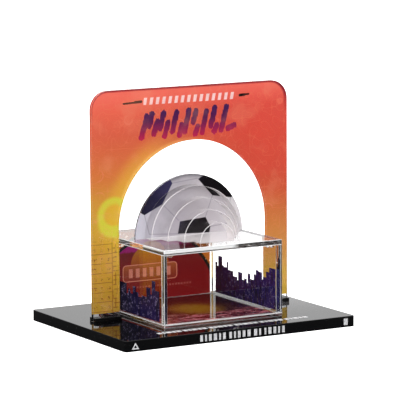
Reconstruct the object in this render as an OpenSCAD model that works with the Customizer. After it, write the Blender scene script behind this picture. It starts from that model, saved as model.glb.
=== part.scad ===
// Football display case: black base, clear case with a lift-off lid, printed arch, stacked half football.
// The frame is centred under the base plate: +X to the right, +Y to the back, +Z up. Millimetres.

/* [Base] */
// Width of the base plate
base_w = 260; // [235:1:330]
// Depth of the base plate
base_d = 198; // [180:1:260]
// Thickness of the base plate
base_t = 11; // [6:0.5:16]
// Radius of the base plate's vertical corners
base_corner_r = 3; // [1:0.5:12]

/* [Arch] */
// Width of the arch panel over both legs
arch_w = 224; // [205:1:234]
// Height of the arch panel above the base plate
arch_h = 228; // [205:1:290]
// Thickness of the arch panel
arch_t = 4; // [3:0.5:8]
// Radius of the arch panel's top corners
arch_corner_r = 19; // [2:1:24]
// Radius of the opening's round top, which is half the opening's width
opening_r = 85; // [76:1:92]
// Height of the opening's straight sides
opening_spring_h = 88.5; // [70:0.5:110]
// Distance of the arch panel's middle to the right of the base's middle
arch_shift = 3; // [-6:0.5:6]
// Distance of the opening's middle to the right of the arch panel's middle
opening_shift = 2.5; // [-4:0.5:4]
// Distance of the arch panel's front face behind the base's middle
arch_y = 5.5; // [-20:0.5:30]
// Height of the unprinted band at the foot of the arch panel
arch_clear_h = 7; // [5:0.5:20]
// Height of the black foot strips
strip_h = 4; // [2:0.5:8]
// Depth of the black foot strips, front to back
strip_d = 4; // [2:0.5:10]

/* [Case] */
// Outer width of the case
case_w = 134; // [105:1:140]
// Outer depth of the case
case_d = 139; // [120:1:165]
// Height of the case above the base plate, with its lid on
case_h = 77; // [60:1:95]
// Thickness of the case's walls
wall_t = 5; // [3:0.5:8]
// Thickness of the case's floor
floor_t = 3; // [2:0.5:8]
// Distance of the case's middle behind the base's middle
case_y = 6.5; // [-5:0.5:12]
// Thickness of the lid
lid_t = 5; // [3:0.5:8]
// Diameter of a locating peg under the lid
peg_dia = 8; // [5:0.5:12]
// Height of a locating peg
peg_h = 3; // [2:0.5:6]
// Gap between a locating peg and the walls
peg_gap = 0.5; // [0.3:0.1:1.5]

/* [Football] */
// Radius of the printed half-disc
ball_r = 61.5; // [50:0.5:64]
// Thickness of the printed half-disc
ball_disc_t = 3; // [3:0.5:8]
// Thickness of each stacked layer
layer_t = 14; // [10:0.5:14.5]
// How much smaller in radius each layer is than the one behind it
layer_step = 10.5; // [6:0.5:13]
// Distance of the football print behind the base's middle
ball_y = 12; // [6:0.5:22]
// Distance of the football's middle to the right of the case's middle
ball_shift = 4; // [-5:0.5:5]

/* [Prints] */
// Thickness of a printed film
film_t = 0.2; // [0.1:0.05:0.4]
// Unprinted margin at the ends and the foot of a side wall
side_margin = 5; // [2:0.5:12]
// Height of the marks on the base's front edge
mark_h = 6.5; // [3:0.5:9]
// Gap between neighbouring marks on the base's front edge
mark_gap = 2.4; // [0.8:0.1:3]
// Usual length of a dash on the base's top
dash_l = 4; // [3:0.5:8]
// Depth of a dash on the base's top, front to back
dash_d = 5.5; // [2:0.5:12]

/* [Hidden] */
$fn = 96;
// A cutter reaches this far past the faces that it cuts.
over = 1;

// Heights of the case and its lid.
floor_top = base_t + floor_t;
lid_top = base_t + case_h;
lid_bottom = lid_top - lid_t;
wall_h = lid_bottom - floor_top;

// The case's inner faces.
inner_w = case_w - 2 * wall_t;
inner_d = case_d - 2 * wall_t;
case_front_y = case_y - case_d / 2;
case_back_y = case_y + case_d / 2;

// The arch's legs, measured at the foot.
arch_left_x = arch_shift - arch_w / 2;
arch_right_x = arch_shift + arch_w / 2;
opening_x = arch_shift + opening_shift;
left_leg_w = opening_x - opening_r - arch_left_x;
right_leg_w = arch_right_x - opening_x - opening_r;

// Buildings of each skyline from the back of the case to its front, as a width and a height.
right_skyline = [[4, 37], [2, 33], [8, 44], [3, 35], [6, 34], [3, 40], [10, 32], [8, 27], [2, 24],
                 [8, 33], [4, 26], [5, 28], [2, 24], [5, 34], [7, 29], [4, 35], [5, 40], [7, 39],
                 [2, 32], [6, 35], [6, 41], [12, 46]];
left_skyline = [[8, 38], [6, 30], [9, 42], [7, 33], [9, 37], [13, 34], [3, 24], [5, 29], [5, 25],
                [6, 33], [5, 28], [7, 24], [10, 26], [8, 36], [3, 30], [7, 44], [8, 35]];
// The case height that the skylines are drawn for.
skyline_case_h = 77;

// Widths of the marks on the base's front edge, in groups with a wider gap between them.
mark_groups = [[3, 2, 3, 3.5, 2, 3], [3, 2, 3, 3, 3.5], [3.5, 2], [2, 3.5, 3, 2, 3]];
group_gap = 4;
// Two more marks near the corners, a triangle on the left and a bar on the right.
corner_inset = 11;
triangle_w = 8;
triangle_line = 1.2;
triangle_in_r = triangle_w * mark_h / (triangle_w + 2 * norm([triangle_w / 2, mark_h]));
bar_w = 4.5;

// A row of dashes on the base's top, before the case, in groups with a wider gap between them.
dash_shares = [1, 0.6, 1.3, 0.8, 1.1];
dash_gap = 1.6;
dash_group_gap = 3.2;
dash_row_w = 176;

function total(v, to = undef) =
    let (n = is_undef(to) ? len(v) : to)
    n == 0 ? 0 : [for (i = 0, s = v[0]; i < n; i = i + 1, s = s + (i < n ? v[i] : 0)) s][n - 1];

function widths(skyline) = [for (building = skyline) building[0]];

// A block that rests on its lower face and is centred on X.
module block(x, y, z, w, d, h) {
    translate([x - w / 2, y, z])
        cube([w, d, h]);
}

// A sheet standing upright with its front face at y, from an outline drawn as x and height.
module upright(y, t) {
    translate([0, y + t, 0])
        rotate([90, 0, 0])
            linear_extrude(t)
                children();
}

// The arch's outline from the height "from" up, with its opening cut out.
module arch_outline(from) {
    r = arch_corner_r;
    top = base_t + arch_h;
    difference() {
        union() {
            translate([arch_left_x, from])
                square([arch_w, top - r - from]);
            translate([arch_left_x + r, from])
                square([arch_w - 2 * r, top - from]);
            translate([arch_left_x + r, top - r])
                circle(r);
            translate([arch_right_x - r, top - r])
                circle(r);
        }
        translate([opening_x - opening_r, base_t - over])
            square([2 * opening_r, opening_spring_h + over]);
        translate([opening_x, base_t + opening_spring_h])
            circle(opening_r);
    }
}

// A half-disc standing on the lid, from its back face forwards.
module half_disc(r, back_y, t) {
    intersection() {
        upright(back_y - t, t)
            translate([ball_shift, lid_top])
                circle(r);
        block(ball_shift, back_y - t - over, lid_top, 2 * r + 2 * over, t + 2 * over, r + over);
    }
}

// Skyline cut from film, on a side wall's outer face at x, with its roofs set out from the back.
module skyline(buildings, x) {
    w = widths(buildings);
    share = (inner_d - 2 * side_margin) / total(w);
    rise = case_h / skyline_case_h;
    start = case_back_y - wall_t - side_margin;
    foot = base_t + side_margin;
    roofs = [for (i = [0 : len(w) - 1], end = [0, 1])
             [start - share * total(w, i + end), base_t + rise * buildings[i][1]]];
    translate([x, 0, 0])
        rotate([90, 0, 90])
            linear_extrude(film_t)
                polygon(concat([[start, foot]], roofs, [[start - share * total(w), foot]]));
}

module base_plate() {
    r = base_corner_r;
    color([0.05, 0.05, 0.06])
        linear_extrude(base_t)
            union() {
                square([base_w - 2 * r, base_d], center = true);
                square([base_w, base_d - 2 * r], center = true);
                for (x = [-1, 1], y = [-1, 1])
                    translate([x * (base_w / 2 - r), y * (base_d / 2 - r)])
                        circle(r);
            }
}

module arch_panel() {
    color([0.9, 0.93, 0.95, 0.4])
        upright(arch_y, arch_t)
            arch_outline(base_t);
}

module arch_film() {
    color([0.91, 0.42, 0.3])
        upright(arch_y + arch_t, film_t)
            arch_outline(base_t + arch_clear_h);
}

module foot_strip(x, w, y) {
    color([0.05, 0.05, 0.05])
        block(x, y, base_t, w, strip_d, strip_h);
}

module left_front_foot_strip() {
    foot_strip(arch_left_x + left_leg_w / 2, left_leg_w, arch_y - strip_d);
}

module left_rear_foot_strip() {
    foot_strip(arch_left_x + left_leg_w / 2, left_leg_w, arch_y + arch_t);
}

module right_front_foot_strip() {
    foot_strip(arch_right_x - right_leg_w / 2, right_leg_w, arch_y - strip_d);
}

module right_rear_foot_strip() {
    foot_strip(arch_right_x - right_leg_w / 2, right_leg_w, arch_y + arch_t);
}

module case_floor() {
    color([0.9, 0.93, 0.95, 0.4])
        block(0, case_front_y, base_t, case_w, case_d, floor_t);
}

module case_front_wall() {
    color([0.9, 0.93, 0.95, 0.3])
        block(0, case_front_y, floor_top, case_w, wall_t, wall_h);
}

module case_back_wall() {
    color([0.9, 0.93, 0.95, 0.4])
        block(0, case_back_y - wall_t, floor_top, case_w, wall_t, wall_h);
}

module side_wall(x) {
    color([0.9, 0.93, 0.95, 0.3])
        block(x, case_front_y + wall_t, floor_top, wall_t, inner_d, wall_h);
}

module case_left_wall() {
    side_wall(-(case_w - wall_t) / 2);
}

module case_right_wall() {
    side_wall((case_w - wall_t) / 2);
}

module floor_film() {
    color([0.55, 0.16, 0.2])
        block(0, case_front_y + wall_t, floor_top, inner_w, inner_d, film_t);
}

module back_film() {
    color([0.5, 0.06, 0.09])
        block(0, case_back_y, floor_top, case_w, film_t, wall_h);
}

module left_skyline_film() {
    color([0.15, 0.12, 0.25])
        skyline(left_skyline, -case_w / 2 - film_t);
}

module right_skyline_film() {
    color([0.15, 0.12, 0.25])
        skyline(right_skyline, case_w / 2);
}

// The triangle mark, shrunk to a share of its size about the centre of the circle that fits in it.
module triangle(share) {
    corners = [[-triangle_w / 2, 0], [triangle_w / 2, 0], [0, mark_h]];
    centre = [0, triangle_in_r];
    polygon([for (corner = corners) centre + share * (corner - centre)]);
}

module edge_marks() {
    group_w = [for (g = mark_groups) total(g) + mark_gap * (len(g) - 1)];
    start = -(total(group_w) + group_gap * (len(group_w) - 1)) / 2;
    mark_y = -base_d / 2 - film_t;
    mark_z = (base_t - mark_h) / 2;
    color([0.95, 0.95, 0.95])
        for (k = [0 : len(mark_groups) - 1], i = [0 : len(mark_groups[k]) - 1]) {
            w = mark_groups[k][i];
            group_x = start + total(group_w, k + 1) - group_w[k] + k * group_gap;
            x = group_x + total(mark_groups[k], i + 1) - w + i * mark_gap;
            block(x + w / 2, mark_y, mark_z, w, film_t, mark_h);
        }
    color([0.95, 0.95, 0.95])
        upright(mark_y, film_t)
            translate([corner_inset - base_w / 2, mark_z])
                difference() {
                    triangle(1);
                    triangle(1 - triangle_line / triangle_in_r);
                }
    color([0.95, 0.95, 0.95])
        block(base_w / 2 - corner_inset, mark_y, mark_z, bar_w, film_t, mark_h);
}

module top_marks() {
    group_w = dash_l * total(dash_shares) + dash_gap * (len(dash_shares) - 1);
    pitch = group_w + dash_group_gap;
    count = floor((dash_row_w + dash_group_gap) / pitch);
    start = -(count * pitch - dash_group_gap) / 2;
    row_y = (case_front_y - base_d / 2) / 2;
    color([0.95, 0.95, 0.95])
        for (k = [0 : count - 1], i = [0 : len(dash_shares) - 1]) {
            w = dash_l * dash_shares[i];
            x = start + k * pitch + dash_l * total(dash_shares, i + 1) - w + i * dash_gap;
            block(x + w / 2, row_y - dash_d / 2, base_t, w, dash_d, film_t);
        }
}

module lid_plate() {
    color([0.9, 0.93, 0.95, 0.5])
        block(0, case_front_y, lid_bottom, case_w, case_d, lid_t);
}

module lid_locating_pegs() {
    reach = peg_gap + peg_dia / 2;
    color([0.9, 0.93, 0.95, 0.5])
        for (x = [-1, 1], y = [-1, 1])
            translate([x * (inner_w / 2 - reach), case_y + y * (inner_d / 2 - reach), lid_bottom - peg_h])
                cylinder(h = peg_h, d = peg_dia);
}

module ball_disc() {
    color([0.85, 0.87, 0.9, 0.5])
        half_disc(ball_r, ball_y + ball_disc_t, ball_disc_t);
}

module ball_film() {
    color([0.75, 0.75, 0.77])
        half_disc(ball_r, ball_y, film_t);
}

module ball_layer(n) {
    color([0.85, 0.87, 0.9, 0.4])
        half_disc(ball_r - n * layer_step, ball_y - film_t - (n - 1) * layer_t, layer_t);
}

module ball_layer_1() {
    ball_layer(1);
}

module ball_layer_2() {
    ball_layer(2);
}

module ball_layer_3() {
    ball_layer(3);
}

module ball_layer_4() {
    ball_layer(4);
}

base_plate();
arch_panel();
arch_film();
left_front_foot_strip();
left_rear_foot_strip();
right_front_foot_strip();
right_rear_foot_strip();
case_floor();
case_front_wall();
case_back_wall();
case_left_wall();
case_right_wall();
floor_film();
back_film();
left_skyline_film();
right_skyline_film();
edge_marks();
top_marks();
lid_plate();
lid_locating_pegs();
ball_disc();
ball_film();
ball_layer_1();
ball_layer_2();
ball_layer_3();
ball_layer_4();
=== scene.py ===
import math

import bpy
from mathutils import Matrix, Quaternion, Vector


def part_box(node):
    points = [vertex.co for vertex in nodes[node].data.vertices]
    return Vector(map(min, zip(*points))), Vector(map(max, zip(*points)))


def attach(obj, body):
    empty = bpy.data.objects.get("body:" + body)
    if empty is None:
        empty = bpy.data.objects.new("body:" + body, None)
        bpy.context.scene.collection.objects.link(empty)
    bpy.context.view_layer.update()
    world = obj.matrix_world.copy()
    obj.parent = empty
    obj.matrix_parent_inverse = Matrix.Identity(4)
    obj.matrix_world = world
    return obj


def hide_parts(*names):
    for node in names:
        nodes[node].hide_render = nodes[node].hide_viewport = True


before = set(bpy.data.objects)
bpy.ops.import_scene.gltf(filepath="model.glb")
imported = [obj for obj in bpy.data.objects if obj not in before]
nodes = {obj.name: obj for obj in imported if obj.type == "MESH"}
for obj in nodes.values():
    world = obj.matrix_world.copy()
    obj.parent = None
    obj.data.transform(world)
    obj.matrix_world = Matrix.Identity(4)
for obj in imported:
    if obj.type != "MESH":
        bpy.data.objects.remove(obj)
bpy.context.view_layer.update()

bpy.ops.object.select_all(action="DESELECT")
scene = bpy.context.scene
scene.view_settings.view_transform = "Standard"


# Camera. A long lens looks at the case from its front left, a little above the lid. Light may
# bounce many times, since it does inside the edges of clear sheets.
MM = 0.001
azimuth, elevation, roll = math.radians(29.8), math.radians(8.25), math.radians(-0.33)
aim = Vector((10.7, 2.0, 123.8)) * MM
distance = 2.877
away = Vector((-math.sin(azimuth) * math.cos(elevation),
               -math.cos(azimuth) * math.cos(elevation),
               math.sin(elevation)))
bpy.ops.object.camera_add(location=aim + distance * away)
camera = bpy.context.object
camera.rotation_euler = (away.to_track_quat("Z", "Y") @ Quaternion((0, 0, 1), roll)).to_euler()
camera.data.sensor_width = 36
camera.data.lens = 258.9
scene.camera = camera
scene.cycles.max_bounces = 32
scene.cycles.glossy_bounces = 24
scene.cycles.transmission_bounces = 24
scene.cycles.transparent_max_bounces = 24


# Studio. A white backdrop stands behind the case and a wide soft light hangs over it, while
# the room before it and to its left is dim, so that upright gloss stays deep and level gloss
# turns pale.
class Wire:
    """An output socket in a node tree. Sums written on it add Math nodes to that tree."""

    def __init__(self, tree, socket):
        self.tree = tree
        self.socket = socket

    def node(self, kind, settings, values, out=0):
        """Adds a node, makes its settings, and then fills its inputs with numbers or wires."""
        made = self.tree.nodes.new(kind)
        for name, value in settings.items():
            if name == "stops":
                set_stops(made.color_ramp, value)
            else:
                setattr(made, name, value)
        for name, value in values.items():
            if isinstance(value, Wire):
                self.tree.links.new(value.socket, made.inputs[name])
            else:
                made.inputs[name].default_value = value
        return Wire(self.tree, made.outputs[out])

    def math(self, operation, *values):
        return self.node("ShaderNodeMath", {"operation": operation}, dict(enumerate(values)))

    def __add__(self, other):
        return self.math("ADD", self, other)

    def __sub__(self, other):
        return self.math("SUBTRACT", self, other)

    def __mul__(self, other):
        return self.math("MULTIPLY", self, other)

    def __truediv__(self, other):
        return self.math("DIVIDE", self, other)

    def __rsub__(self, other):
        return self.math("SUBTRACT", other, self)

    __radd__ = __add__
    __rmul__ = __mul__

    def part(self, axis):
        """One coordinate of a vector."""
        return self.node("ShaderNodeSeparateXYZ", {}, {0: self}, axis)

    def fade(self, off, on):
        """0 at off and 1 at on, easing in between, whichever of the two is larger."""
        settings = {"interpolation_type": "SMOOTHSTEP"}
        return self.node("ShaderNodeMapRange", settings, {0: self, 1: off, 2: on})

    def noise(self, size, detail=2.0, rough=0.5):
        """Soft noise about 0.5, with patches of about that size."""
        values = {"Vector": self, "Scale": 1 / size, "Detail": detail, "Roughness": rough}
        return self.node("ShaderNodeTexNoise", {}, values)

    def under(self, mask, colour):
        """This colour with another over it wherever the mask is 1."""
        return mask.between(self, colour)

    def between(self, off, on):
        """A mix of two colours, off at 0 and on at 1."""
        return self.node("ShaderNodeMix", {"data_type": "RGBA"}, {0: self, 6: off, 7: on}, 2)


def set_stops(ramp, stops):
    while len(ramp.elements) > 1:
        ramp.elements.remove(ramp.elements[-1])
    ramp.elements[0].position, ramp.elements[0].color = stops[0]
    for position, colour in stops[1:]:
        ramp.elements.new(position).color = colour


def bounced(tree, kind):
    """1 for light that has left a surface in that way on its path to the camera, and else 0."""
    path = tree.nodes.new("ShaderNodeLightPath")
    depth = Wire(tree, path.outputs[f"{kind} Depth"])
    return depth.math("MINIMUM", depth, 1)


def dimmed(tree, kind, value, other):
    """One value for light bounced in that way, and the other for the rest."""
    share = bounced(tree, kind)
    return share * value + (1 - share) * other


world = bpy.data.worlds.new("studio")
world.use_nodes = True
scene.world = world
sky = Wire(world.node_tree, world.node_tree.nodes.new("ShaderNodeTexCoord").outputs["Generated"])
to_right = sky.part("X").fade(-0.4, 0.1)
backdrop = sky.part("Y").fade(-0.3, 0.75) * (0.1 + to_right * 0.75)
overhead = sky.part("Z").fade(0.3, 0.85) * 1.2
room = backdrop.math("MAXIMUM", backdrop, overhead) + 0.08
light = dimmed(world.node_tree, "Glossy", room, 1)
light = dimmed(world.node_tree, "Diffuse", 2.2, light)
background = world.node_tree.nodes["Background"]
background.inputs["Color"].default_value = (1, 1, 1, 1)
world.node_tree.links.new(light.socket, background.inputs["Strength"])

bpy.ops.mesh.primitive_plane_add(size=60)
floor = bpy.context.object
floor.name = "studio_floor"
pale = bpy.data.materials.new("pale_floor")
pale.use_nodes = True
lit = pale.node_tree.nodes["Principled BSDF"]
lit.inputs["Base Color"].default_value = (0.8, 0.8, 0.8, 1)
lit.inputs["Roughness"].default_value = 0.9
lit.inputs["Emission Color"].default_value = (1, 1, 1, 1)
lit.inputs["Emission Strength"].default_value = 0.72
dim = pale.node_tree.nodes.new("ShaderNodeBsdfDiffuse")
dim.inputs["Color"].default_value = (0.03, 0.03, 0.03, 1)
both = pale.node_tree.nodes.new("ShaderNodeMixShader")
seen = dimmed(pale.node_tree, "Diffuse", 0, dimmed(pale.node_tree, "Glossy", 0, 1))
pale.node_tree.links.new(seen.socket, both.inputs[0])
pale.node_tree.links.new(dim.outputs[0], both.inputs[1])
pale.node_tree.links.new(lit.outputs[0], both.inputs[2])
pale.node_tree.links.new(both.outputs[0], pale.node_tree.nodes["Material Output"].inputs[0])
floor.data.materials.append(pale)


# Base plate. A slab of glossy black cast acrylic with small rounded upright corners and
# flame-polished edges. Handling leaves faint smears and specks of dust on its top, and its top
# is painted paler towards the right and the back, a painted sheen.
def begin(name):
    """A new material, and the place of each point of its surface in millimetres."""
    material = bpy.data.materials.new(name)
    material.use_nodes = True
    tree = material.node_tree
    place = Wire(tree, tree.nodes.new("ShaderNodeTexCoord").outputs["Object"])
    scale = {"operation": "SCALE"}
    return material, place.node("ShaderNodeVectorMath", scale, {0: place, "Scale": 1 / MM})


def fill(material, values):
    """Sets or links sockets of the material's shader."""
    shader = material.node_tree.nodes["Principled BSDF"]
    for name, value in values.items():
        if isinstance(value, Wire):
            material.node_tree.links.new(value.socket, shader.inputs[name])
        else:
            shader.inputs[name].default_value = value
    return material


def bumps(height, distance):
    """A normal from a height, which rises by distance millimetres."""
    return height.node("ShaderNodeBump", {}, {"Distance": distance * MM, "Height": height})


def block(name, low, high):
    """A plain block between two corners, with its place in its mesh."""
    bpy.ops.mesh.primitive_cube_add(size=1, location=(low + high) / 2)
    piece = bpy.context.object
    piece.name = piece.data.name = name
    piece.scale = high - low
    bpy.ops.object.transform_apply(location=True, rotation=True, scale=True)
    return piece


def pick_edges(piece, wanted):
    """Enters edit mode with just those edges selected whose two ends pass the test."""
    bpy.ops.object.mode_set(mode="EDIT")
    bpy.ops.mesh.select_mode(type="EDGE")
    bpy.ops.mesh.select_all(action="DESELECT")
    bpy.ops.object.mode_set(mode="OBJECT")
    for edge in piece.data.edges:
        edge.select = wanted(*(piece.data.vertices[v].co for v in edge.vertices))
    bpy.ops.object.mode_set(mode="EDIT")


def chamfer(piece, width, faces, arrises):
    """Gives a piece its material, breaks every sharp edge with a narrow flat in a second
    material, and shades the curves smooth."""
    bpy.ops.object.mode_set(mode="OBJECT")
    piece.data.materials.append(faces)
    piece.data.materials.append(arrises)
    bevel = piece.modifiers.new("chamfer", "BEVEL")
    bevel.width = width * MM
    bevel.segments = 1
    bevel.limit_method = "ANGLE"
    bevel.angle_limit = math.radians(50)
    bevel.material = 1
    bpy.ops.object.modifier_apply(modifier=bevel.name)
    bpy.ops.object.shade_smooth_by_angle(angle=math.radians(20))


def done(piece, body, *replaced):
    """Gives a finished piece its body and the CAD nodes that it stands for."""
    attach(piece, body)
    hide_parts(*replaced)
    bpy.ops.object.select_all(action="DESELECT")


black_acrylic, place = begin("black_acrylic")
smears = place.noise(28, 3).fade(0.5, 0.75)
dust = place.noise(0.9, 1).fade(0.76, 0.8)
# A painted sheen: the top turns grey towards the right and the back.
painted_sheen = place.part("X").fade(50, 100) * place.part("Y").fade(-80, 50)
fill(black_acrylic, {
    "Base Color": (dust * 0.5 + painted_sheen * 0.5).between((0.003, 0.003, 0.0035, 1),
                                                    (0.25, 0.25, 0.26, 1)),
    "Roughness": 0.025 + smears * 0.05 + dust * 0.2,
    "IOR": 1.47,
})
low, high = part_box("base_plate")
base = block("base_slab", low, high)
corner_r = 3 * MM
pick_edges(base, lambda a, b: abs(a.z - b.z) > MM)
bpy.ops.mesh.bevel(offset=corner_r, segments=8, affect="EDGES")
chamfer(base, 0.35, black_acrylic, black_acrylic)
done(base, "stand", "base_plate")


# Marks on the base. Cut white vinyl, pressed on: plain bars and a triangle on the front edge
# and fine dashes on the top. It is a little worn.
vinyl, place = begin("white_vinyl")
wear = place.noise(1.2, 3).fade(0.35, 0.65)
fill(vinyl, {
    "Base Color": wear.between((0.42, 0.42, 0.44, 1), (0.66, 0.66, 0.67, 1)),
    "Roughness": 0.5,
    "Normal": bumps(wear, 0.02),
})
for name in ("edge_marks", "top_marks"):
    nodes[name].material_slots[0].material = vinyl


# Foot strips. Four short strips of black acrylic, cemented before and behind each leg of the
# arch. They were sawn and then polished, so their faces show faint saw lines.
strip_black, place = begin("strip_black")
saw_lines = place.math("SINE", place.part("X") * 9)
streak_grain = place.noise(0.5, 1) * 0.5 + saw_lines * 0.1
fill(strip_black, {
    "Base Color": (0.004, 0.004, 0.004, 1),
    "Roughness": 0.12 + streak_grain * 0.2,
    "IOR": 1.49,
    "Normal": bumps(streak_grain, 0.01),
})
for side in ("left", "right"):
    for end in ("front", "rear"):
        node = f"{side}_{end}_foot_strip"
        low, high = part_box(node)
        strip = block(node + "_cut", low, high)
        pick_edges(strip, lambda a, b: min(a.z, b.z) > high.z - MM)
        bpy.ops.mesh.bevel(offset=0.6 * MM, segments=4, affect="EDGES")
        chamfer(strip, 0.15, strip_black, strip_black)
        done(strip, "stand", node)


# Arch panel. Clear cast acrylic, 4 mm thick, laser-cut with rounded top corners and a
# round-topped opening. Its faces are polished, and its arrises are sanded to a satin white that
# is also a painted highlight along the edges.
def combine(piece, other, operation):
    """Cuts another object out of a piece or joins it on, and takes the other away."""
    boolean = piece.modifiers.new("boolean", "BOOLEAN")
    boolean.object = other
    boolean.operation = operation
    boolean.solver = "EXACT"
    bpy.context.view_layer.objects.active = piece
    bpy.ops.object.modifier_apply(modifier=boolean.name)
    bpy.data.objects.remove(other)


clear_tint = (0.975, 0.985, 0.985, 1)
clear, place = begin("clear_acrylic")
fill(clear, {
    "Base Color": clear_tint,
    "Roughness": place.noise(0.7, 1).fade(0.78, 0.86) * 0.12,
    "IOR": 1.49,
    "Transmission Weight": 1.0,
})
# The arrises are sanded, and their satin white is also a painted highlight along every edge.
satin_and_highlight, place = begin("satin_arris_highlight")
sanding = place.noise(0.8, 3)
fill(satin_and_highlight, {
    "Base Color": (0.93, 0.94, 0.95, 1),
    "Roughness": 0.35 + sanding * 0.4,
    "IOR": 1.49,
    "Transmission Weight": 0.3,
    "Normal": bumps(sanding, 0.02),
})
low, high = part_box("arch_panel")
# The sheet reaches a little into its print, so that the print lies on it with no air between.
bond = 0.05 * MM
arch = block("arch_sheet", low + Vector((0, 0, bond)), high + Vector((0, bond, 0)))
arch_corner_r = 19 * MM
pick_edges(arch, lambda a, b: min(a.z, b.z) > high.z - MM and abs(a.y - b.y) > MM)
bpy.ops.mesh.bevel(offset=arch_corner_r, segments=20, affect="EDGES")
bpy.ops.object.mode_set(mode="OBJECT")
# The middle and radius of the opening's round top, and how far its cutters reach past the faces.
opening = Vector((5.5, 0, 99.5)) * MM
opening_r = 85 * MM
over = 8 * MM
bpy.ops.mesh.primitive_cylinder_add(vertices=256, radius=opening_r, depth=20 * MM,
                                    location=opening + Vector((0, low.y, 0)),
                                    rotation=(math.pi / 2, 0, 0))
round_top = bpy.context.object
straight = block("straight_cut", Vector((opening.x - opening_r, low.y - over, 0)),
                 Vector((opening.x + opening_r, high.y + over, opening.z)))
for cutter in (round_top, straight):
    combine(arch, cutter, "DIFFERENCE")
chamfer(arch, 0.3, clear, satin_and_highlight)
done(arch, "stand", "arch_panel")


# Arch print. A film on the back of the panel: coral above, red on the right, orange and ochre
# down the legs, with a yellow ring, fine line work, and rows of bars and brush strokes. Its
# colours also hold painted shade: higher up, the left is lighter than the right.
def ink(red, green, blue):
    """A printed colour from the numbers of a colour picker, less the sheen that is on it."""
    shares = ((v / 255 + 0.055) / 1.055 for v in (red, green, blue))
    return (*(max(share ** 2.4 - 0.008, 0.001) for share in shares), 1)


def ladder(height, low, high, inks):
    """A colour for each height, from evenly spaced inks."""
    last = len(inks) - 1
    stops = [(i / last, ink(*colour)) for i, colour in enumerate(inks)]
    return height.node("ShaderNodeValToRGB", {"stops": stops},
                       {0: (height - low) / (high - low)})


def stroke(x, z, start, end, width):
    """How far a point lies inside a straight stroke with round ends."""
    dx, dz = end[0] - start[0], end[1] - start[1]
    along = ((x - start[0]) * dx + (z - start[1]) * dz) / (dx * dx + dz * dz)
    along = along.math("MINIMUM", along.math("MAXIMUM", along, 0), 1)
    off_x = x - start[0] - along * dx
    off_z = z - start[1] - along * dz
    return width / 2 - off_x.math("SQRT", off_x * off_x + off_z * off_z)


def past_side(value, low, high, radius):
    """How far one coordinate lies past the straight stretch of a rectangle's side."""
    middle, half = (low + high) / 2, (high - low) / 2
    return widest(value.math("ABSOLUTE", value - middle) - (half - radius), 0)


def round_frame(x, z, low, high, radius):
    """How far a point lies outside a rectangle with round corners."""
    dx = past_side(x, low[0], high[0], radius)
    dz = past_side(z, low[1], high[1], radius)
    return dx.math("SQRT", dx * dx + dz * dz) - radius


def widest(first, *others):
    """The larger of several numbers."""
    for other in others:
        first = first.math("MAXIMUM", first, other)
    return first


def band(value, low, high, soft):
    """1 between two values."""
    return value.fade(low - soft, low + soft) * value.fade(high + soft, high - soft)


def print_on(name, material, place, colour, glow, roughness):
    """Gives a film its print. The print also glows in its own colours, a painted light that makes
    it look evenly lit.
    """
    grain = place.noise(0.6, 2)
    fill(material, {
        "Base Color": colour,
        "Emission Color": colour,
        "Emission Strength": glow,
        "Roughness": roughness * (0.7 + grain * 0.6),
        "IOR": 1.49,
        "Normal": bumps(grain, 0.004),
    })
    nodes[name].material_slots[0].material = material


arch_print, place = begin("arch_print")
x, z = place.part("X"), place.part("Z")
# Both ladders hold painted shade along with the print's colours: higher up, the left is lighter
# than the right.
left = ladder(z, 18, 238, [
    (176, 138, 48), (188, 144, 52), (196, 150, 54), (200, 154, 54), (206, 162, 56),
    (208, 150, 60), (212, 126, 64), (214, 112, 68), (217, 102, 74), (228, 106, 82),
    (240, 114, 98)])
right = ladder(z, 18, 238, [
    (200, 164, 60), (206, 168, 68), (206, 148, 72), (206, 134, 70), (206, 118, 66),
    (206, 92, 60), (212, 82, 62), (216, 82, 64), (218, 82, 66), (220, 84, 70),
    (236, 110, 94)])
clouds = place.noise(24, 3) - 0.5
colour = left.under((x + clouds * 60).fade(-75, 80), right)

# The glow round the left of the opening, and the yellow ring in it.
from_rim = x - opening.x / MM
up = widest(z - opening.z / MM, 0)
from_rim = from_rim.math("SQRT", from_rim * from_rim + up * up) - opening_r / MM
glow = from_rim.fade(22, 0) * x.fade(10, -70) * z.fade(10, 100)
warm = ladder(z, 60, 200, [(214, 180, 56), (222, 188, 56), (232, 182, 66), (240, 176, 76)])
colour = colour.under(glow * 0.7, warm)
rim_light = from_rim.fade(4, 0) * x.fade(40, -40) * z.fade(95, 125)
colour = colour.under(rim_light * 0.4, ink(252, 214, 120))
ring_x, ring_z = -83.3, 114.5
ring_dx, ring_dz = x - ring_x, z - ring_z
ring = ring_dx.math("SQRT", ring_dx * ring_dx + ring_dz * ring_dz)
colour = colour.under(ring.fade(22, 8) * 0.45, ink(222, 180, 52))
widening = z.fade(112, 98) * 3
ring = band(ring, 11.5 - widening, 18.6 + widening, 2.6)
colour = colour.under(ring * 0.9, ink(208, 206, 66))

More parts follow.
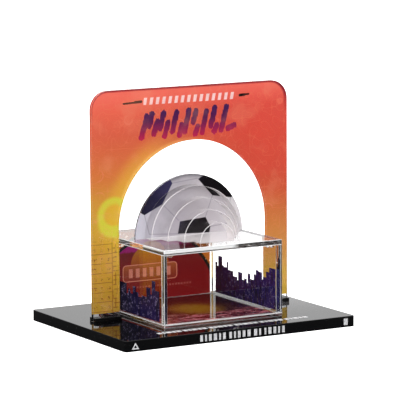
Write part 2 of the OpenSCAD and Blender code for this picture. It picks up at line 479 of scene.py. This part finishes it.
# Faint curls and loops all over, and a line drawing low on the left leg.
swirl = place.noise(9, 0)
swirl = swirl.fade(0.47, 0.5) * swirl.fade(0.53, 0.5)
colour = colour.under(swirl * 0.16, ink(246, 150, 110))
bricks = place.node("ShaderNodeMapping", {}, {"Vector": place, "Rotation": (math.pi / 2, 0, 0)})
lines = bricks.node("ShaderNodeTexBrick", {"offset": 0.37, "squash": 0.6, "squash_frequency": 3},
                    {"Vector": bricks, "Scale": 0.12, "Mortar Size": 0.06, "Mortar Smooth": 0.4,
                     "Brick Width": 0.9, "Row Height": 0.55}, 1)
lines = lines * x.fade(-87, -84) * place.noise(5, 2).fade(0.42, 0.52)
storey_h = 9.6
storey = z.math("FRACT", z / storey_h)
sills = band(storey, 0.02, 0.08, 0.03) * x.fade(-85, -86)
panes = widest(band(x, -107, -103.4, 0.4), band(x, -91.6, -88.2, 0.4), band(x, -99, -97, 0.3))
panes = panes * band(storey, 0.3, 0.62, 0.08) * place.noise(1.6, 2).fade(0.5, 0.56)
drawing = widest(lines, sills, panes, band(x, -86.6, -85.9, 0.4))
drawing = drawing * x.fade(-70, -80) * z.fade(96, 84) * place.noise(12, 1).fade(0.3, 0.46)
colour = colour.under(drawing * 0.8, ink(120, 44, 32))
loops = place.node("ShaderNodeTexVoronoi", {}, {"Vector": place, "Scale": 0.045})
loops = band(loops, 0.27, 0.3, 0.03) * place.noise(30, 1).fade(0.5, 0.58) * z.fade(90, 110)
colour = colour.under(loops * 0.3, ink(250, 160, 130))

# A row of slanted white bars between two black dashes.
bar_pitch = 7.1
slant = x + (z - 226) * -0.2
bars = slant.math("FRACT", (slant + 100) / bar_pitch)
bars = band(bars, 0.12, 0.62, 0.03) * band(z, 222.4, 229.4, 0.25) * band(x, -49.5, 56, 0.3)
colour = colour.under(bars * 0.85, ink(248, 226, 224))
dashes = widest(stroke(x, z, (-72, 224.8), (-58, 225.4), 1.6),
                stroke(x, z, (-59, 225.6), (-52, 225.8), 2.4),
                stroke(x, z, (61, 225.8), (66, 226), 2.6),
                stroke(x, z, (64, 226), (71, 226.4), 1.6))
dry = place.noise(1.1, 3, 0.7) - 0.5
colour = colour.under((dashes + dry * 0.8).fade(-0.3, 0.1), ink(14, 4, 10))

# Loose brush strokes, violet above and crimson below, each from one end to the other.
hatch = [((-52, 190), (-46, 211)), ((-43, 201), (-40, 213)), ((-38, 193), (-34, 205)),
         ((-31, 198), (-27, 213)), ((-26, 190), (-22, 203)), ((-17, 194), (-12, 213)),
         ((-9, 190), (-6, 200)), ((-3, 193), (2, 214)), ((7, 202), (10, 213)),
         ((9, 190), (12, 197)), ((17, 191), (22, 212)), ((27, 197), (32, 215)),
         ((31, 191), (34, 197)), ((39, 192), (45, 215)), ((47, 193), (54, 196))]
brush_w = 6
strokes = widest(*(stroke(x, z, start, end, brush_w) for start, end in hatch))
bristles = place.node("ShaderNodeMapping", {},
                      {"Vector": place, "Rotation": (0, 0.2, 0), "Scale": (1, 1, 0.12)})
strokes = (strokes + (bristles.noise(1.2, 1) - 0.5) * 3).fade(-0.1, 0.1)
dye = ladder(z, 188, 214, [(190, 30, 84), (140, 30, 86), (84, 28, 86), (54, 30, 92)])
colour = colour.under(strokes * 0.97, dye)

# Pale clouds, and a darker line along the top.
colour = colour.under(clouds.fade(0.0, 0.25) * 0.12, ink(255, 190, 150))
border = round_frame(x, z, (-109, -40), (115, 239), arch_corner_r / MM)
colour = colour.under(border.fade(-3.4, -1.2) * z.fade(200, 228) * 0.8, ink(166, 40, 50))
colour = colour.under(border.fade(-1.6, -0.8) * z.fade(216, 232) * 0.8, ink(126, 24, 44))
print_on("arch_film", arch_print, place, colour, 0.36, 0.3)


# Case. A floor plate, a front and a back wall over its whole width and two side walls between
# them, all of clear cast acrylic with sanded arrises, cemented to each other. The arrises' satin
# white is also a painted highlight along the edges.
def clear_sheet(node, body, grow_low, grow_high, faces=clear):
    """A clear sheet with chamfered edges. It keeps a hair's breadth from the sheets that it
    meets, and reaches as far into a print on it. The grow values say which, in gaps."""
    low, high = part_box(node)
    sheet = block(node + "_sheet", low - bond * Vector(grow_low), high + bond * Vector(grow_high))
    chamfer(sheet, 0.32, faces, satin_and_highlight)
    done(sheet, body, node)


clear_sheet("case_floor", "stand", (0, 0, -1), (0, 0, 0.5))
clear_sheet("case_front_wall", "stand", (0, 0, -1), (0, -1, 0))
clear_sheet("case_back_wall", "stand", (0, -1, -1), (0, 1, 0))
clear_sheet("case_left_wall", "stand", (1, -1, -1), (0, -1, 0))
clear_sheet("case_right_wall", "stand", (0, -1, -1), (1, -1, 0))


# Back print. A dark red film behind the back wall, magenta above, with a plain plate before a
# rising sun, and a black hoop that leaves orange corners with a few sparks.
def arc(x, z, centre, radius):
    """How far a point lies outside a circle."""
    dx, dz = x - centre[0], z - centre[1]
    return dx.math("SQRT", dx * dx + dz * dz) - radius


back_print, place = begin("back_print")
x, z = place.part("X"), place.part("Z")
ragged = z + (place.noise(4, 3) - 0.5) * 6
colour = ladder(z, 14, 84,
                [(112, 22, 22), (112, 18, 24), (106, 14, 24), (98, 10, 28), (92, 8, 34)])
colour = colour.under(ragged.fade(63, 65), ink(134, 2, 96))
sun = arc(x, z, (-6.5, 50), 20).fade(0.4, -0.4) * z.fade(33, 34)
sun_inks = ladder(z, 48, 70, [(136, 62, 22), (150, 82, 26), (160, 112, 34)])
colour = colour.under(sun, sun_inks)
hoop = arc(x, z, (0, 10), 67)
colour = colour.under(hoop.fade(0, 0.5), ink(20, 8, 14))
colour = colour.under(hoop.fade(3.2, 3.8), ink(168, 92, 34))
sparks = place.noise(2.2, 0).fade(0.69, 0.72)
colour = colour.under(hoop.fade(2, 5) * sparks, ink(255, 240, 220))
plate = round_frame(x, z, (-36, 33.4), (23.4, 51), 4)
plate_inks = ladder(z, 33, 51, [(118, 38, 28), (130, 56, 34), (150, 78, 40)])
colour = colour.under(plate.fade(0.2, -0.2), plate_inks)
colour = colour.under(band(plate, -0.9, 0, 0.2), ink(190, 116, 96))
bars = x.math("FRACT", (x + 30) / 8)
bars = band(bars, 0.14, 0.7, 0.04) * band(z, 37.5, 46.8, 0.25) * band(x, -30, 18, 0.2)
colour = colour.under(bars * 0.8, ink(196, 122, 104))
ticks = x.math("FRACT", x / 3.4)
ticks = band(ticks, 0.1, 0.7, 0.1) * band(z, 26.4, 28.4, 0.3) * band(x, -20, 40, 1)
colour = colour.under(ticks * 0.35, ink(190, 110, 100))
print_on("back_film", back_print, place, colour, 0.8, 0.3)
# The print stops a little short of both ends of its film.
fill(back_print, {"Alpha": x.math("ABSOLUTE", x).fade(62.5, 62.2)})


# Floor print. A stadium at night from above: dark stands, a pink and red ring of streaks, and
# a warm glow over the pitch.
floor_print, place = begin("floor_print")
x, y = place.part("X"), place.part("Y")
streaks = place.node("ShaderNodeMapping", {}, {"Vector": place, "Scale": (0.25, 1.2, 1)})
streaks = streaks.noise(5, 4, 0.65)
reach = arc(x, (y - 2) * 0.92, (4, 0), 0)
wobble = reach + (streaks - 0.5) * 16
colour = ladder(wobble, 6, 84, [(120, 92, 26), (112, 80, 24), (70, 40, 18), (40, 16, 12),
                                (40, 12, 14), (30, 8, 14), (20, 8, 14)])
soot = streaks.fade(0.52, 0.36) * wobble.fade(14, 30)
colour = colour.under(soot * 0.8, ink(12, 6, 12))
front = y.fade(-8, -34)
stands = front * wobble.fade(22, 34) * streaks.fade(0.35, 0.5)
colour = colour.under(stands * 0.85, ink(90, 16, 28))
ring = streaks.fade(0.51, 0.58) * front * wobble.fade(20, 30)
colour = colour.under(ring * 0.8, ink(206, 128, 136))
lamps = place.noise(1.7, 1).fade(0.68, 0.74) * band(reach, 30, 70, 6) * front
colour = colour.under(lamps * 0.7, ink(236, 214, 216))
print_on("floor_film", floor_print, place, colour, 0.35, 0.01)


# Skylines. Matt films cut along their roofs, on the outer faces of the side walls: near black
# at the back and indigo at the front, with small lit windows.
# The left film's inks are a darker copy of the right's, painted shade on the dim left side.
for side, inks in (("left", [(34, 28, 56), (30, 26, 56), (26, 20, 38), (18, 12, 22)]),
                   ("right", [(48, 42, 106), (40, 36, 92), (38, 30, 74), (34, 26, 56)])):
    skyline_print, place = begin(f"{side}_skyline_print")
    y, z = place.part("Y"), place.part("Z")
    colour = ladder(y + (place.noise(18, 2) - 0.5) * 40, -56, 60, inks)
    towers = place.node("ShaderNodeMapping", {}, {"Vector": place, "Scale": (1, 0.4, 0.08)})
    colour = colour.under(towers.noise(1.3, 1).fade(0.5, 0.62) * 0.7, ink(22, 14, 30))
    windows = place.node("ShaderNodeTexVoronoi", {"distance": "CHEBYCHEV"},
                         {"Vector": place, "Scale": 0.9})
    lit_up = windows.fade(0.3, 0.24) * place.noise(4, 2).fade(0.5, 0.62) * y.fade(70, 20)
    colour = colour.under(lit_up * 0.7, ink(170, 156, 196))
    print_on(f"{side}_skyline_film", skyline_print, place, colour, 0.3, 0.3)
    fill(skyline_print, {"IOR": 1.2})


# Lid. A loose clear plate, flush with the walls, with four low round pegs cemented under it
# that sit in the corners of the case. Its front edge shows dark streaks towards the right, a
# painted reflection of the dim room.
lid_clear, place = begin("lid_acrylic")
low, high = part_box("lid_plate")
# The dark streaks on the right of the front edge are a painted reflection of the dim room.
front_edge = place.part("Y").fade(low.y / MM + 0.3, low.y / MM + 0.1)
streak_grain = place.node("ShaderNodeMapping", {},
                 {"Vector": place, "Rotation": (0, 0.16, 0), "Scale": (0.16, 1, 0.9)})
painted_dark_reflection = front_edge * place.part("X").fade(8, 16) * streak_grain.noise(1, 3, 0.6).fade(0.42, 0.5)
fill(lid_clear, {
    "Base Color": painted_dark_reflection.between(clear_tint, (0.05, 0.035, 0.03, 1)),
    "Roughness": place.noise(0.7, 1).fade(0.78, 0.86) * 0.12,
    "IOR": 1.49,
    "Transmission Weight": 1.0,
})
clear_sheet("lid_plate", "lid", (0, 0, -1), (0, 0, 0), lid_clear)
peg_low, peg_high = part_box("lid_locating_pegs")
peg_r = 4 * MM
pegs = []
peg_h, peg_z = peg_high.z - peg_low.z, (peg_low.z + peg_high.z) / 2
for peg_x in (peg_low.x + peg_r, peg_high.x - peg_r):
    for peg_y in (peg_low.y + peg_r, peg_high.y - peg_r):
        bpy.ops.mesh.primitive_cylinder_add(vertices=64, radius=peg_r, depth=peg_h,
                                            location=(peg_x, peg_y, peg_z))
        peg = bpy.context.object
        bpy.ops.object.transform_apply(location=True, rotation=True, scale=True)
        chamfer(peg, 0.3, clear, clear)
        pegs.append(peg)
for peg in pegs:
    peg.select_set(True)
bpy.ops.object.join()
pegs = bpy.context.object
pegs.name = pegs.data.name = "lid_pegs"
done(pegs, "lid", "lid_locating_pegs")


# Half football. A printed film stands on the lid between a thin clear half-disc behind it and
# four thick ones before it, each smaller than the last and cemented to the one behind.
def see_through(material, solid):
    """Makes a material clear, but for the share that solid gives."""
    tree = material.node_tree
    clear_air = tree.nodes.new("ShaderNodeBsdfTransparent")
    mixed = tree.nodes.new("ShaderNodeMixShader")
    tree.links.new(solid.socket, mixed.inputs[0])
    tree.links.new(clear_air.outputs[0], mixed.inputs[1])
    tree.links.new(tree.nodes["Principled BSDF"].outputs[0], mixed.inputs[2])
    tree.links.new(mixed.outputs[0], tree.nodes["Material Output"].inputs[0])


def half_disc(name, radius, front, back):
    """An upright half-disc on the lid, between two depths."""
    bpy.ops.mesh.primitive_cylinder_add(vertices=384, radius=radius, depth=back - front,
                                        location=(ball.x, (front + back) / 2, ball.z),
                                        rotation=(math.pi / 2, 0, 0))
    disc = bpy.context.object
    disc.name = disc.data.name = name
    bpy.ops.object.transform_apply(location=True, rotation=True, scale=True)
    bpy.ops.object.mode_set(mode="EDIT")
    bpy.ops.mesh.select_all(action="SELECT")
    bpy.ops.mesh.bisect(plane_co=ball, plane_no=(0, 0, 1), use_fill=True, clear_inner=True)
    bpy.ops.object.mode_set(mode="OBJECT")
    return disc


low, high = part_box("ball_disc")
# The half-discs stand a hair above the lid.
ball = Vector(((low.x + high.x) / 2, 0, low.z + bond))
disc = half_disc("ball_back", (high.x - low.x) / 2, low.y - bond, high.y)
chamfer(disc, 0.2, clear, clear)
done(disc, "lid", "ball_disc")

# Each layer reaches this far into the one behind it, so that the two join into one body.
bite = 1 * MM
stack = None
layers = [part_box(f"ball_layer_{n}") for n in (1, 2, 3, 4)]
for n, (low, high) in enumerate(layers, 1):
    overlap = bond if n == 1 else bite
    layer = half_disc(f"layer_{n}", (high.x - low.x) / 2, low.y, high.y + overlap)
    if stack is None:
        stack = layer
    else:
        combine(stack, layer, "UNION")
stack.name = stack.data.name = "ball_stack"
clear_stack, place = begin("clear_stack")
out_x, up_z = place.part("X") - ball.x / MM, place.part("Z") - ball.z / MM
out = out_x.math("SQRT", out_x * out_x + up_z * up_z)
# The front rim of each layer catches the light, less so near its top, as does the foot.
inset = 0.4
rims = []
for low, high in layers:
    off_r = out - ((high.x - low.x) / 2 / MM - inset)
    off_y = place.part("Y") - (low.y / MM + inset)
    rims.append(off_r.math("SQRT", off_r * off_r + off_y * off_y).fade(0.6, 0.25))
catch = widest(*rims)
lean = out_x / out
catch = catch * (0.85 - band(lean, -0.35, 0.3, 0.22) * 0.7)
catch = widest(catch, up_z.fade(0.3, 0.1) * 0.6)
shine = place.node("ShaderNodeFresnel", {}, {"IOR": 1.2})
# The rims and the Fresnel shine are painted as a pale grey highlight on the clear stack.
painted_highlight = (catch + shine).fade(0.02, 0.2).between((0, 0, 0, 1), (0.82, 0.79, 0.8, 1))
fill(clear_stack, {
    "Base Color": painted_highlight,
    "Roughness": place.noise(2, 2) * 0.1,
    "IOR": 1.49,
})
see_through(clear_stack, shine + catch)
bpy.context.view_layer.objects.active = stack
chamfer(stack, 0.3, clear_stack, clear_stack)
done(stack, "lid", "ball_layer_1", "ball_layer_2", "ball_layer_3", "ball_layer_4")


# Football print. A film between the half-discs: a plain ball in pale grey with near-black
# panels and fine seams, darker round the top of its rim.
def inside(x, z, corners):
    """How far a point lies inside a convex shape, from its corners in anticlockwise order."""
    depth = None
    for (ax, az), (bx, bz) in zip(corners, corners[1:] + corners[:1]):
        length = math.hypot(bx - ax, bz - az)
        nx, nz = -(bz - az) / length, (bx - ax) / length
        side = x * nx + z * nz - (ax * nx + az * nz)
        depth = side if depth is None else depth.math("MINIMUM", depth, side)
    return depth


ball_print, place = begin("ball_print")
x, z = place.part("X") - ball.x / MM, place.part("Z") - ball.z / MM
radius = arc(x, z, (0, 0), 0)
colour = ladder(x, -56, 56, [(188, 185, 196), (166, 161, 169), (160, 154, 161),
                             (170, 164, 169), (184, 178, 183), (202, 197, 200)])
puff = place.noise(16, 2) - 0.5
colour = colour.under(puff.fade(0, 0.3) * 0.2, ink(220, 216, 222))
rim = radius.fade(56.5, 61.5)
colour = colour.under(rim * z.fade(25, 55) * 0.9, ink(100, 98, 104))
seams = [((-30.9, 33.2), (-12.5, 15.5)), ((26.7, 37.8), (18.5, 16.6)), ((24.2, 6.4), (44, 8)),
         ((44, 8), (47.7, 34.2)), ((-13.4, 1.9), (-46, 4)), ((-46, 4), (-51.4, 23.7)),
         ((-19.3, 53.5), (9.5, 56.4))]
seam_w = 0.9
seams = widest(*(stroke(x, z, start, end, seam_w) for start, end in seams))
colour = colour.under(seams.fade(-0.35, 0.25) * 0.55, ink(120, 116, 126))
panels = [
    [(-51.4, 23.7), (-30.9, 33.2), (-19.3, 53.5), (-24, 60), (-62, 30)],
    [(26.7, 37.8), (47.7, 34.2), (60, 38), (30, 66), (16.4, 58.9), (9.5, 56.4)],
    [(-13.4, 1.9), (23, 0.4), (24.2, 6.4), (18.5, 16.6), (2.3, 15.3), (-11, 14.4)],
]
panels = widest(*(inside(x, z, corners) for corners in panels))
panel_ink = ladder(x + puff * 20 + z * -0.3, -68, 0, [
    (20, 18, 28), (40, 37, 62), (56, 52, 88), (38, 34, 50), (28, 24, 28)])
colour = colour.under(panels.fade(-0.3, 0.3), panel_ink)
print_on("ball_film", ball_print, place, colour, 0.05, 0.3)
